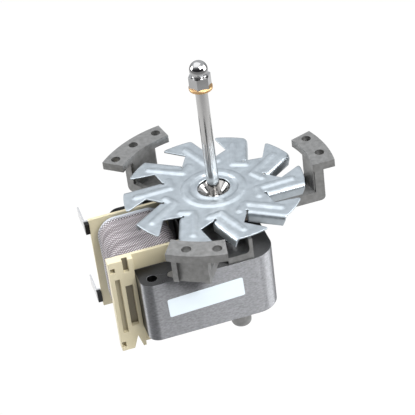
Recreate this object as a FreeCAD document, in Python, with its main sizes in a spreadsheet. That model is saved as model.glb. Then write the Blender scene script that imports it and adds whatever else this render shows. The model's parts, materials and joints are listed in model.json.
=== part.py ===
# Shaded-pole cooling and convection fan motor for an oven: a C-shaped lamination stack with its
# coil on one side, a die-cast spider that carries the motor on three curved feet, a stamped
# ten-blade cooling fan, and a long shaft that ends in a washer and an acorn nut.
# Millimetres. The shaft lies along Z, and the origin is on the shaft's axis at the feet's top plane.

import FreeCAD, Part
import Sketcher
import math
import os
import re

doc = FreeCAD.newDocument("fan_motor")
sheet = doc.addObject("Spreadsheet::Sheet", "Sizes")

SIZES = {
    # Feet and arms of the cast spider
    "fan_clearance": 4.9,
    "foot_width": 11.9,
    "foot_thick": 4.3,
    "foot_lip": 0.25,
    "foot_hole_inset": 5.5,
    "foot_hole_radius": 2.5,
    "foot_end_angle": 19.5,
    "foot_hole_step": 15.0,
    "arm_count": 3,
    "arm_spacing": 120.0,
    "arm_half_width": 9.3,
    "arm_rib_thick": 2.6,
    "arm_web_thick": 2.4,
    "arm_wall_thick": 2.6,
    "arm_post_width": 4.9,
    "arm_corner_radius": 2.4,
    "arm_depth": 23.2,
    "arm_height": 5.8,
    "arm_root_reach": 9.0,
    # Base of the spider on the stack
    "base_left": 5.5,
    "base_right": 7.9,
    "base_thick": 3.9,
    "base_wall_height": 12.0,
    "base_wall_thick": 1.9,
    "base_fillet": 2.5,
    "base_edge_gap": 0.8,
    "cup_radius": 11.0,
    "cup_height": 12.0,
    # Stack of laminations
    "stack_top": -27.2,
    "stack_height": 35.1,
    "stack_right": 20.0,
    "stack_left": 51.0,
    "stack_half_width": 36.7,
    "leg_width": 17.0,
    "pole_left": 19.5,
    "stack_corner_radius": 12.0,
    "leg_corner_radius": 6.0,
    "stack_bore_radius": 13.0,
    "stack_hole_inset": 6.6,
    "stack_hole_offset": 30.3,
    "stack_hole_radius": 2.7,
    "core_bar_width": 16.4,
    "rivet_radius": 1.6,
    "rivet_head": 0.5,
    "shading_width": 2.2,
    "shading_inset": 0.6,
    "shading_overhang": 1.6,
    # Bobbin and coil
    "bobbin_left": 64.2,
    "bobbin_right": 22.6,
    "bobbin_half_height": 28.4,
    "bobbin_drop": 0.8,
    "bobbin_wall": 1.8,
    "bobbin_side_gap": 0.05,
    "block_depth": 3.4,
    "block_width": 13.0,
    "slot_depth": 2.2,
    "coil_thick": 8.2,
    "coil_corner": 9.0,
    "coil_crown": 1.6,
    "tape_thick": 0.7,
    "tab_width": 6.35,
    "tab_thick": 0.8,
    "tab_length": 17.0,
    "tab_offset": 22.6,
    # Lower bracket
    "screw_offset": 25.4,
    "screw_radius": 2.0,
    "screw_hole_radius": 2.3,
    "screw_head_radius": 4.0,
    "screw_head_height": 2.6,
    "boss_radius": 5.3,
    "boss_height": 12.2,
    "screw_reach": 8.0,
    "bridge_thick": 4.0,
    "bridge_width": 13.0,
    "lower_cup_radius": 10.0,
    "lower_cup_height": 9.5,
    "boss_round": 2.4,
    "shaft_tail": 1.2,
    # Shaft, rotor and bearings
    "shaft_radius": 3.175,
    "shaft_thread_radius": 2.9,
    "rotor_radius": 12.65,
    "end_ring_height": 3.6,
    "end_ring_width": 4.6,
    "rotor_bar_count": 15,
    "rotor_bar_radius": 1.1,
    "bearing_radius": 6.4,
    "bearing_length": 7.6,
    "bearing_clearance": 0.04,
    "felt_thick": 1.5,
    "retainer_thick": 0.5,
    "thrust_radius": 5.0,
    "thrust_thick": 0.8,
    "shaft_end_play": 0.4,
    # Washer and nut at the shaft's tip
    "washer_bottom": 55.3,
    "washer_radius": 6.0,
    "washer_thick": 1.5,
    "nut_flats": 10.0,
    "nut_hex_height": 6.2,
    "nut_neck_radius": 3.9,
    "nut_neck_height": 1.3,
    "nut_dome_radius": 4.7,
    "nut_height": 14.0,
    "nut_thread_length": 9.5,
    # Cooling fan
    "fan_top": -4.8,
    "fan_radius": 46.6,
    "fan_sheet": 0.7,
    "fan_blades": 10,
    "fan_tip_angle": 0.4,
    "fold_offset": 15.0,
    "fold_radius": 2.4,
    "fold_drop": 5.8,
    "fold_slant": 1.6,
    "slot_width": 10.3,
    "slot_inner": 22.8,
    "slot_corner_shift": 1.5,
    "slot_flare_angle": 7.1,
    "slot_relief_radius": 0.7,
    "blade_corner_radius": 1.5,
    "rib_offset": 9.7,
    "rib_start": 20.3,
    "rib_margin": 6.7,
    "rib_half_width": 2.0,
    "rib_slope": 1.3,
    "rib_rise": 0.9,
    "rib_short_length": 6.5,
    "ring_inner": 12.2,
    "ring_outer": 17.0,
    "ring_rise": 0.9,
    "ring_slope": 1.1,
    "fan_hole_radius": 8.6,
    "fan_lip": 0.9,
    "hub_sheet": 0.6,
    "hub_dish": 3.4,
    "hub_teeth": 6,
    "hub_slit": 1.2,
    # Label
    "label_length": 40.0,
    "label_height": 11.2,
    "label_thick": 0.15,
    "label_centre_left": 19.4,
    "label_drop": 15.8,
    "label_tilt": 2.1,
}

for row, (alias, value) in enumerate(SIZES.items(), start=1):
    sheet.set("A%d" % row, alias)
    sheet.set("B%d" % row, str(value))
    sheet.setAlias("B%d" % row, alias)
doc.recompute()

WORDS = re.compile(r"\b(" + "|".join(sorted(SIZES, key=len, reverse=True)) + r")\b")
X_AXIS = FreeCAD.Vector(1, 0, 0)
Y_AXIS = FreeCAD.Vector(0, 1, 0)
Z_AXIS = FreeCAD.Vector(0, 0, 1)
FULL_TURN = 360.0


def size(alias):
    """The value in the sheet's cell of that name."""
    return float(getattr(sheet, alias))


def cells(text):
    """An expression whose words are names of the sheet's cells."""
    return WORDS.sub(r"Sizes.\1", str(text))


def bind(item, **expressions):
    """Ties properties of a document object to expressions over the sheet."""
    for name, text in expressions.items():
        item.setExpression(name, cells(text))
    return item


def place(item, x=0, y=0, z=0):
    """Ties an object's position to expressions over the sheet."""
    for axis, text in zip("xyz", (x, y, z)):
        item.setExpression("Placement.Base." + axis, cells(text))
    return item


def turn(item, angle):
    """Turns an object about its own Z by an angle, an expression over the sheet."""
    item.Placement.Rotation = FreeCAD.Rotation(Z_AXIS, 1)
    item.setExpression("Placement.Rotation.Angle", cells(angle))
    return item


def box(name, x, y, z, length, width, height):
    """A box from its lowest corner and its three sizes."""
    item = doc.addObject("Part::Box", name)
    bind(item, Length=length, Width=width, Height=height)
    return place(item, x, y, z)


def cylinder(name, radius, height, x=0, y=0, z=0):
    """An upright cylinder that stands at a point."""
    item = doc.addObject("Part::Cylinder", name)
    bind(item, Radius=radius, Height=height)
    return place(item, x, y, z)


def sector(name, inner, outer, z, height, start, end):
    """A curved plate between two radii, from one angle to another."""
    whole = cylinder(name + "_outer", outer, height, z=z)
    bind(whole, Angle="(%s) - (%s)" % (end, start))
    turn(whole, start)
    hole = cylinder(name + "_inner", inner, height, z=z)
    return cut(name, whole, [hole])


def fuse(name, shapes):
    """One solid from several that meet."""
    item = doc.addObject("Part::MultiFuse", name)
    item.Shapes = shapes
    item.Refine = True
    return item


def cut(name, base, tools):
    """A base with one or more tools taken away."""
    item = doc.addObject("Part::Cut", name)
    item.Base = base
    item.Tool = tools[0] if len(tools) == 1 else fuse(name + "_tools", tools)
    item.Refine = True
    return item


def fillet(name, base, radius, wanted):
    """Rounds the edges of a base that a test picks."""
    doc.recompute()
    item = doc.addObject("Part::Fillet", name)
    item.Base = base
    edges = []
    for index, edge in enumerate(base.Shape.Edges, start=1):
        if wanted(edge):
            edges.append((index, radius, radius))
    item.Edges = edges
    return item


def upright(edge):
    """Tells whether an edge is straight and parallel to Z."""
    ends = [vertex.Point for vertex in edge.Vertexes]
    if len(ends) != 2:
        return False
    step = ends[1] - ends[0]
    return math.hypot(step.x, step.y) < 0.001 and abs(step.z) > 0.1


def outline(sketch, points):
    """Draws a closed outline whose corners are tied to expressions over the sheet."""
    count = len(points)
    doc.recompute()
    start = [FreeCAD.Vector(float(number(a)), float(number(b)), 0) for a, b in points]
    for index in range(count):
        sketch.addGeometry(Part.LineSegment(start[index], start[(index + 1) % count]), False)
    for index in range(count):
        sketch.addConstraint(Sketcher.Constraint("Coincident", index, 2, (index + 1) % count, 1))
    for index, (across, along) in enumerate(points):
        for kind, text, part in (("DistanceX", across, "x"), ("DistanceY", along, "y")):
            value = number(text)
            made = sketch.addConstraint(Sketcher.Constraint(kind, -1, 1, index, 1, value))
            name = "%s%d" % (part, index)
            sketch.renameConstraint(made, name)
            sketch.setExpression("Constraints." + name, cells(text))


def number(text):
    """The value of an expression over the sheet, for a sketch's first drawing."""
    if isinstance(text, (int, float)):
        return float(text)
    return float(doc.getObject("Sizes").evalExpression(cells(text)))


def new_body(name):
    """An empty body and a finder for its origin planes."""
    return doc.addObject("PartDesign::Body", name)


def plane(body, role):
    """A body's own origin plane or axis."""
    for feature in body.Origin.OriginFeatures:
        if feature.Role == role:
            return feature
    raise ValueError(role)


def turned(name, points):
    """A turned piece: a half profile of (radius, height) points revolved about Z."""
    body = new_body(name)
    sketch = body.newObject("Sketcher::SketchObject", name + "_profile")
    sketch.AttachmentSupport = [(plane(body, "XZ_Plane"), "")]
    sketch.MapMode = "FlatFace"
    outline(sketch, points)
    feature = body.newObject("PartDesign::Revolution", name + "_revolution")
    feature.Profile = sketch
    feature.ReferenceAxis = (sketch, ["V_Axis"])
    feature.Angle = FULL_TURN
    return body


def coded(name, shape, placement=None):
    """A sub-part whose form is worked out by Part's own functions."""
    item = doc.addObject("Part::Feature", name)
    item.Shape = shape
    item.Placement = placement or FreeCAD.Placement()
    return item


FOOT_INNER = "(fan_radius + fan_clearance)"
FOOT_OUTER = "(fan_radius + fan_clearance + foot_width)"


def arm_plate(name, low):
    """One side plate of an arm: a run along the channel and a post up to the foot."""
    outer = FOOT_INNER + " + arm_post_width"
    run = box(
        name + "_run", "base_right - base_wall_thick", low, "-arm_depth",
        outer + " - base_right + base_wall_thick", "arm_rib_thick", "arm_height",
    )
    post = box(
        name + "_post", FOOT_INNER, low, "-arm_depth", "arm_post_width", "arm_rib_thick",
        "arm_depth - foot_thick / 2",
    )
    corner = (number(outer), number("-arm_depth"))
    return fillet(
        name + "_plate", fuse(name + "_bar", [run, post]), size("arm_corner_radius"),
        lambda edge: all(math.dist((point.X, point.Z), corner) < 0.01 for point in edge.Vertexes),
    )


def spider():
    """The cast spider: curved feet on channelled arms that reach in to a base and a bearing cup."""
    inner_wall = "(base_right - base_wall_thick)"
    pieces = []
    for index in range(int(size("arm_count"))):
        tag = "arm%d_" % index
        foot = cut(tag + "foot", sector(
            tag + "foot_ring", FOOT_INNER, FOOT_OUTER, "-foot_thick", "foot_thick",
            "-asin((arm_half_width + foot_lip) / %s)" % FOOT_INNER, "foot_end_angle * 1 deg",
        ), [box(
            tag + "foot_trim", "0", "-arm_half_width - foot_lip - foot_width", "-2 * foot_thick",
            "2 * " + FOOT_OUTER, "foot_width", "3 * foot_thick",
        )])
        parts = [foot, arm_plate(tag + "left", "arm_half_width - arm_rib_thick"),
                 arm_plate(tag + "right", "-arm_half_width")]
        parts.append(box(
            tag + "web", inner_wall, "-arm_half_width", "-arm_depth",
            "%s - %s + arm_wall_thick / 2" % (FOOT_INNER, inner_wall), "2 * arm_half_width",
            "arm_web_thick",
        ))
        reach = "asin((arm_half_width - arm_rib_thick / 2) / %s)" % FOOT_INNER
        parts.append(sector(
            tag + "wall", FOOT_INNER, FOOT_INNER + " + arm_wall_thick", "-arm_depth",
            "arm_depth - foot_thick / 2", "-" + reach, reach,
        ))
        parts.append(cylinder(
            tag + "pip", "foot_hole_radius", "1.9 * foot_thick", FOOT_INNER + " + arm_wall_thick",
            "arm_half_width - arm_rib_thick - foot_hole_radius", "-2 * foot_thick",
        ))
        parts.append(box(
            tag + "root", "cup_radius / 2", "-arm_half_width / 2", "stack_top",
            "cup_radius / 2 + arm_root_reach", "arm_half_width", "-stack_top - arm_depth + arm_web_thick / 2",
        ))
        pieces.append(turn(fuse(tag + "fuse", parts), "%d * arm_spacing" % index))
    extra = sector(
        "extra_foot", FOOT_INNER, FOOT_OUTER, "-foot_thick", "foot_thick",
        "arm_spacing - foot_end_angle", "arm_spacing",
    )
    front = "base_edge_gap - stack_half_width"
    slab = box(
        "base_slab", "-base_left", front, "stack_top", "base_left + base_right",
        "2 * (stack_half_width - base_edge_gap)", "base_thick",
    )
    wall = box(
        "base_wall", inner_wall, front, "stack_top", "base_wall_thick",
        "2 * (stack_half_width - base_edge_gap)", "base_wall_height",
    )
    corner = (number(inner_wall), number("stack_top + base_thick"))
    base = fillet(
        "base_rounded", fuse("base_angle", [slab, wall]), size("base_fillet"),
        lambda edge: all(math.dist((point.X, point.Z), corner) < 0.01 for point in edge.Vertexes),
    )
    cup = cylinder("cup", "cup_radius", "cup_height", z="stack_top")
    whole = fuse("spider_solid", pieces + [extra, base, cup])
    holes = []
    steps = [(turn_index, step) for turn_index in range(int(size("arm_count"))) for step in (0, 1)]
    for turn_index, step in steps + [(1, -1)]:
        angle = "%d * arm_spacing + %d * foot_hole_step" % (turn_index, step)
        holes.append(cylinder(
            "foot_hole", "foot_hole_radius", "foot_thick * 3",
            "(%s - foot_hole_inset) * cos((%s) * 1 deg)" % (FOOT_OUTER, angle),
            "(%s - foot_hole_inset) * sin((%s) * 1 deg)" % (FOOT_OUTER, angle), "-foot_thick * 2",
        ))
    for side in (-1, 1):
        holes.append(cylinder(
            "base_screw_hole", "screw_hole_radius", "base_thick * 3",
            y="%d * screw_offset" % side, z="stack_top - base_thick",
        ))
        holes.append(cylinder(
            "screw_head_pocket", "screw_head_radius + 0.5", "base_wall_height",
            y="%d * screw_offset" % side, z="stack_top + base_thick",
        ))
    pocket = cylinder(
        "bearing_pocket", "bearing_radius + felt_thick", "cup_height",
        z="stack_top + cup_height - bearing_length",
    )
    bore = cylinder("cup_bore", "shaft_radius + 0.6", "cup_height * 3", z="stack_top - cup_height")
    seat = cylinder("retainer_seat", "bearing_radius + felt_thick + 2", "base_wall_height + cup_height",
                    z="stack_top + cup_height")
    return cut("mounting_spider", whole, holes + [pocket, bore, seat])


def stack():
    """The C-shaped stack: two legs on a pole body, bored for the rotor, with its through holes."""
    bottom = "stack_top - stack_height"
    length = "stack_left + stack_right"
    whole = box("stack_block", "-stack_left", "-stack_half_width", bottom,
                length, "2 * stack_half_width", "stack_height")
    doc.recompute()
    right = size("stack_right")

    def at_right(edge):
        return upright(edge) and abs(edge.Vertexes[0].Point.x - right) < 0.01

    def at_left(edge):
        return upright(edge) and abs(edge.Vertexes[0].Point.x + size("stack_left")) < 0.01

    rounded = fillet("stack_right_corners", whole, size("stack_corner_radius"), at_right)
    rounded = fillet("stack_leg_corners", rounded, size("leg_corner_radius"), at_left)
    window = box("stack_window", "-stack_left - leg_corner_radius", "leg_width - stack_half_width",
                 bottom + " - 1", "stack_left + leg_corner_radius - pole_left",
                 "2 * (stack_half_width - leg_width)", "stack_height + 2")
    tools = [window, cylinder("stack_bore", "stack_bore_radius", "stack_height + 2", z=bottom + " - 1")]
    for side in (-1, 1):
        tools.append(cylinder("leg_hole", "stack_hole_radius", "stack_height + 2",
                              "stack_hole_inset - stack_left", "%d * stack_hole_offset" % side,
                              bottom + " - 1"))
        tools.append(cylinder("stack_screw_hole", "screw_hole_radius", "stack_height + 2",
                              y="%d * screw_offset" % side, z=bottom + " - 1"))
        for across, along in RIVETS:
            tools.append(cylinder("rivet_hole", "rivet_radius", "stack_height + 2", across,
                                  "%d * (%s)" % (side, along), bottom + " - 1"))
    return cut("stator_stack", rounded, tools + shading_loops("slot"))


RIVETS = (("leg_width - stack_left", "stack_half_width - 3 * rivet_radius"),)


def shading_loops(tag):
    """Two flat copper loops, one in each pole horn, flush with the stack's faces."""
    loops = []
    for index, angle in enumerate((-45, 135)):
        name = "shading_%s%d" % (tag, index)
        outer = box(name + "_outer", "stack_bore_radius + shading_inset", "-shading_width / 2",
                    "stack_top - stack_height", "3.6 * shading_width", "shading_width", "stack_height")
        inner = box(name + "_inner", "stack_bore_radius + shading_inset + shading_width", "-shading_width",
                    "stack_top - stack_height + shading_overhang", "1.6 * shading_width",
                    "2 * shading_width", "stack_height - 2 * shading_overhang")
        loops.append(turn(cut(name, outer, [inner]), str(angle)))
    return loops


def rivets():
    """Two rivets that hold the laminations together, with low heads on both faces."""
    pieces = []
    for side in (-1, 1):
        for across, along in RIVETS:
            place_y = "%d * (%s)" % (side, along)
            pieces.append(cylinder("rivet", "rivet_radius", "stack_height + 2 * rivet_head", across,
                                   place_y, "stack_top - stack_height - rivet_head"))
            for low in ("stack_top", "stack_top - stack_height - rivet_head"):
                pieces.append(cylinder("rivet_cap", "1.6 * rivet_radius", "rivet_head", across,
                                       place_y, low))
    return fuse("stack_rivets", pieces)


def bar():
    """The straight bundle of laminations that closes the C and carries the coil."""
    return box("core_bar", "-stack_left", "leg_width - stack_half_width", "stack_top - stack_height",
               "core_bar_width", "2 * (stack_half_width - leg_width)", "stack_height")


def bobbin():
    """The moulded bobbin: a square tube between two tall flanges, with a slotted block in front."""
    reach = "(stack_half_width - leg_width - bobbin_side_gap)"
    middle = "(stack_top - stack_height / 2 - bobbin_drop)"
    low = middle + " - bobbin_half_height"
    tube = box("bobbin_tube", "-stack_left - bobbin_wall", "-" + reach,
               "stack_top - stack_height - bobbin_wall", "core_bar_width + 2 * bobbin_wall",
               "2 * " + reach, "stack_height + 2 * bobbin_wall")
    flanges = []
    for name, start in (("front_flange", "-" + reach), ("back_flange", reach + " - bobbin_wall")):
        flanges.append(box(name, "-bobbin_left", start, low, "bobbin_left - bobbin_right",
                           "bobbin_wall", "2 * bobbin_half_height"))
    block = box("front_block", "-bobbin_left", "-%s - block_depth" % reach, low, "block_width",
                "block_depth + bobbin_wall / 2", "2 * bobbin_half_height")
    whole = fuse("bobbin_solid", [tube, block] + flanges)
    core = box("bobbin_core", "-stack_left", "-2 * " + reach, "stack_top - stack_height",
               "core_bar_width", "4 * " + reach, "stack_height")
    slots = []
    for start, wide, top, tall in BLOCK_SLOTS:
        slots.append(box("block_slot", "%s - bobbin_left" % start, "-%s - block_depth - 1" % reach,
                         middle + " + bobbin_half_height - (%s) - (%s)" % (top, tall), wide,
                         "slot_depth + 1", tall))
    notch = doc.addObject("Part::Wedge", "wire_notch")
    bind(notch, Xmin=0, Xmax="0.41 * block_width", X2min="0.23 * block_width", X2max="0.23 * block_width",
         Ymin=0, Ymax="0.27 * bobbin_half_height + 1", Zmin=0, Z2min=0,
         Zmax="block_depth + bobbin_wall + 2", Z2max="block_depth + bobbin_wall + 2")
    notch.Placement.Rotation = FreeCAD.Rotation(X_AXIS, 90)
    place(notch, "0.49 * block_width - bobbin_left", "1 + bobbin_wall - " + reach, low + " - 1")
    return cut("coil_bobbin", whole, [core, notch] + slots)


BLOCK_SLOTS = (
    ("0.17 * block_width", "0.2 * block_width", "0.39 * bobbin_half_height", "1.21 * bobbin_half_height"),
    ("0.54 * block_width", "0.3 * block_width", "0.57 * bobbin_half_height", "0.91 * bobbin_half_height"),
    ("0.57 * block_width", "0.22 * block_width", "-1", "0.27 * bobbin_half_height + 1"),
    ("0.05 * block_width", "0.19 * block_width", "0.13 * bobbin_half_height", "0.1 * bobbin_half_height"),
    ("0.02 * block_width", "0.17 * block_width", "1.8 * bobbin_half_height", "0.12 * bobbin_half_height"),
)


def rounded_loop(half_x, half_z, corner, centre_x, centre_z, along):
    """A closed rounded rectangle at one place along the coil's axis."""
    points = []
    for sign_x, sign_z, start in ((1, 1, 0), (-1, 1, 90), (-1, -1, 180), (1, -1, 270)):
        middle = (centre_x + sign_x * (half_x - corner), centre_z + sign_z * (half_z - corner))
        for angle in (start, start + 45, start + 90):
            turn_to = math.radians(angle)
            points.append(FreeCAD.Vector(middle[0] + corner * math.cos(turn_to), along,
                                         middle[1] + corner * math.sin(turn_to)))
    edges = []
    for index in range(4):
        first, mid, last = points[3 * index:3 * index + 3]
        edges.append(Part.Arc(first, mid, last).toShape())
        edges.append(Part.LineSegment(last, points[(3 * index + 3) % 12]).toShape())
    return Part.Wire(edges)


def coil(skin):
    """The coil's outer form, drawn in by a skin's thickness: a rounded ring with a crowned middle."""
    half_bar = size("core_bar_width") / 2 + size("bobbin_wall")
    half_stack = size("stack_height") / 2 + size("bobbin_wall")
    reach = size("stack_half_width") - size("leg_width") - size("bobbin_side_gap") - size("bobbin_wall")
    centre_x = size("core_bar_width") / 2 - size("stack_left")
    centre_z = size("stack_top") - size("stack_height") / 2
    thick = size("coil_thick") - size("coil_crown") - skin
    corner = size("coil_corner") - skin
    loops = []
    for along, crown in ((-reach, 0), (-reach / 2, 0.75), (0, 1), (reach / 2, 0.75), (reach, 0)):
        out = thick + crown * size("coil_crown")
        loops.append(rounded_loop(half_bar + out, half_stack + out, corner, centre_x, centre_z, along))
    outer = Part.makeLoft(loops, True, True)
    inner = Part.makeBox(2 * half_bar, 4 * reach, 2 * half_stack,
                         FreeCAD.Vector(centre_x - half_bar, -2 * reach, centre_z - half_stack))
    return outer.cut(inner)


def terminals():
    """Two flat tabs that leave the back flange's outer edge and point away behind the coil."""
    reach = "(stack_half_width - leg_width - bobbin_side_gap)"
    made = []
    for name, side in (("terminal_upper", 1), ("terminal_lower", -1)):
        low = "stack_top - stack_height / 2 + %d * tab_offset - tab_width / 2" % side
        root = box(name + "_root", "-bobbin_left - 3 * tab_thick", reach + " - bobbin_wall - tab_thick",
                   low, "3 * tab_thick", "bobbin_wall + 3 * tab_thick", "tab_width")
        blade = box(name + "_blade", "-bobbin_left - 3 * tab_thick", reach + " - bobbin_wall", low,
                    "tab_thick", "tab_length", "tab_width")
        made.append(fuse(name, [root, blade]))
    return made


def lower_bracket():
    """The cast bridge under the stack: two round bosses, a bearing cup and the arms between."""
    top = "stack_top - stack_height"
    foot = top + " - boss_height"
    bridge = box("bridge", "-bridge_width / 2", "-screw_offset", top + " - bridge_thick",
                 "bridge_width", "2 * screw_offset", "bridge_thick")
    rib = box("bridge_rib", "-bridge_width / 4", "-screw_offset", top + " - 1.9 * bridge_thick",
              "bridge_width / 2", "2 * screw_offset", "1.9 * bridge_thick")
    cup = cylinder("lower_cup", "lower_cup_radius", "lower_cup_height",
                   z=top + " - lower_cup_height")
    pieces = [bridge, rib, cup]
    for side in (-1, 1):
        pieces.append(cylinder("boss", "boss_radius", "boss_height", y="%d * screw_offset" % side, z=foot))
    whole = fuse("lower_solid", pieces)
    doc.recompute()
    floor = number(foot)

    def at_foot(edge):
        return all(abs(vertex.Point.z - floor) < 0.01 for vertex in edge.Vertexes)

    rounded = fillet("lower_rounded", whole, size("boss_round"), at_foot)
    tools = [cylinder("lower_pocket", "bearing_radius + felt_thick", "bearing_length + 1",
                      z=top + " - lower_cup_height - 1")]
    tools.append(cylinder("lower_bore", "shaft_radius + 0.6", "3 * lower_cup_height",
                          z=top + " - 2 * lower_cup_height"))
    for side in (-1, 1):
        tools.append(cylinder("boss_hole", "screw_radius", "screw_reach", y="%d * screw_offset" % side,
                              z=top + " - screw_reach"))
    return cut("lower_bracket", rounded, tools)


def screws():
    """Two long screws from the spider's base, through the stack, into the lower bosses."""
    pieces = []
    for side in (-1, 1):
        across = "%d * screw_offset" % side
        pieces.append(cylinder("screw", "screw_radius", "stack_height + base_thick + screw_reach",
                               y=across, z="stack_top - stack_height - screw_reach"))
        pieces.append(cylinder("screw_head", "screw_head_radius", "screw_head_height", y=across,
                               z="stack_top + base_thick"))
    whole = fuse("screw_solids", pieces)
    slots = [box("screw_slot", "-screw_head_radius", "%d * screw_offset - 0.5" % side,
                 "stack_top + base_thick + screw_head_height / 2", "2 * screw_head_radius", 1,
                 "screw_head_height") for side in (-1, 1)]
    return cut("through_screws", whole, slots)


def bearings():
    """Sintered bushes, oil felts and sheet retainers in the upper and the lower cup."""
    top = "(stack_top + cup_height)"
    low = "(stack_top - stack_height - lower_cup_height)"
    for name, start, plate in (("upper", top + " - bearing_length", top),
                               ("lower", low, low + " - retainer_thick")):
        end = start + " + bearing_length"
        bore = "shaft_radius + bearing_clearance"
        turned(name + "_bearing", [
            (bore, start), ("bearing_radius - 1", start), ("bearing_radius", start + " + 1"),
            ("bearing_radius", end + " - 1"), ("bearing_radius - 1", end), (bore, end),
        ])
        felt = "bearing_radius + felt_thick"
        turned(name + "_oil_felt", [
            ("bearing_radius", start + " + 1"), (felt, start + " + 1"), (felt, end + " - 1"),
            ("bearing_radius", end + " - 1"),
        ])
        rim = "bearing_radius + felt_thick + 1.6"
        turned(name + "_retainer", [
            ("shaft_radius + 1.2", plate), (rim, plate), (rim, plate + " + retainer_thick"),
            ("shaft_radius + 1.2", plate + " + retainer_thick"),
        ])


def shaft():
    """The ground shaft, with a chamfered tail and a reduced threaded tip above a shoulder."""
    low = "stack_top - stack_height - lower_cup_height - shaft_tail"
    tip = "washer_bottom + washer_thick + nut_thread_length"
    return turned("shaft", [
        (0, low), ("shaft_radius - 0.5", low), ("shaft_radius", low + " + 0.5"),
        ("shaft_radius", "washer_bottom - 0.4"), ("shaft_radius - 0.2", "washer_bottom"),
        ("shaft_thread_radius", "washer_bottom"), ("shaft_thread_radius", tip + " - 0.6"),
        ("shaft_thread_radius - 0.6", tip), (0, tip),
    ])


def rotor():
    """The rotor: a round stack of laminations with a cast cage, and a thrust washer at each end."""
    slack = "(shaft_end_play + thrust_thick)"
    top = "(stack_top - %s)" % slack
    low = "(stack_top - stack_height + %s)" % slack
    core_height = "%s - %s - 2 * end_ring_height" % (top, low)
    bars = []
    holes = []
    count = int(size("rotor_bar_count"))
    middle = "(rotor_radius - rotor_bar_radius - 0.6)"
    for index in range(count):
        angle = index * FULL_TURN / count
        for kind in (bars, holes):
            item = doc.addObject("Part::Prism", "rotor_bar")
            item.Polygon = 6
            bind(item, Circumradius="rotor_bar_radius", Height=core_height)
            kind.append(place(item, "%s * cos(%.6f deg)" % (middle, angle),
                              "%s * sin(%.6f deg)" % (middle, angle), low + " + end_ring_height"))
    core = cylinder("core_blank", "rotor_radius", core_height, z=low + " + end_ring_height")
    bore = cylinder("core_bore", "shaft_radius", "stack_height", z=low)
    cut("rotor_core", core, holes + [bore])
    rings = []
    for name, start in (("upper", top + " - end_ring_height"), ("lower", low)):
        outer = cylinder("ring_outer", "rotor_radius", "end_ring_height", z=start)
        inner = cylinder("ring_inner", "rotor_radius - end_ring_width", "end_ring_height", z=start)
        rings.append(cut("end_ring_" + name, outer, [inner]))
    fuse("rotor_cage", rings + bars)
    for name, start in (("upper_thrust_washer", top), ("lower_thrust_washer", low + " - thrust_thick")):
        end = start + " + thrust_thick"
        turned(name, [("shaft_radius", start), ("thrust_radius", start), ("thrust_radius", end),
                      ("shaft_radius", end)])
    spacers = []
    for start, height in ((top + " - end_ring_height", "end_ring_height"), (low, "end_ring_height")):
        outer = cylinder("spacer_outer", "thrust_radius", height, z=start)
        inner = cylinder("spacer_inner", "shaft_radius", height, z=start)
        spacers.append(cut("spacer", outer, [inner]))
    doc.addObject("Part::Compound", "rotor_spacers").Links = spacers


def tip():
    """The washer on the shaft's shoulder and the acorn nut above it."""
    turned("shaft_washer", [
        ("shaft_thread_radius", "washer_bottom"), ("washer_radius", "washer_bottom"),
        ("washer_radius", "washer_bottom + washer_thick"),
        ("shaft_thread_radius", "washer_bottom + washer_thick"),
    ])
    seat = "washer_bottom + washer_thick"
    hexagon = doc.addObject("Part::Prism", "nut_hex")
    hexagon.Polygon = 6
    bind(hexagon, Circumradius="nut_flats / 2 / cos(30 deg)", Height="nut_hex_height")
    place(hexagon, z=seat)
    neck = cylinder("nut_neck", "nut_neck_radius", "nut_neck_height + 0.5",
                    z=seat + " + nut_hex_height")
    dome = doc.addObject("Part::Sphere", "nut_dome")
    bind(dome, Radius="nut_dome_radius")
    place(dome, z=seat + " + nut_height - nut_dome_radius")
    trim = cylinder("nut_trim", "nut_flats", "nut_height", z=seat + " + nut_hex_height + nut_neck_height")
    dome_top = doc.addObject("Part::Common", "nut_dome_top")
    dome_top.Base = dome
    dome_top.Tool = trim
    whole = fuse("nut_solid", [hexagon, neck, dome_top])
    bore = cylinder("nut_bore", "shaft_thread_radius", "nut_thread_length + 0.4", z=seat)
    cut("acorn_nut", whole, [bore])


def revolved(points):
    """A ring of sheet metal from a closed half profile of (radius, height) points."""
    corners = [FreeCAD.Vector(radius, 0, height) for radius, height in points]
    face = Part.Face(Part.makePolygon(corners + corners[:1]))
    return face.revolve(FreeCAD.Vector(), Z_AXIS, FULL_TURN)


def raised(points, height):
    """A plate raised from a closed outline of points at one height."""
    return Part.Face(Part.makePolygon(points + points[:1])).extrude(FreeCAD.Vector(0, 0, height))


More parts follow.
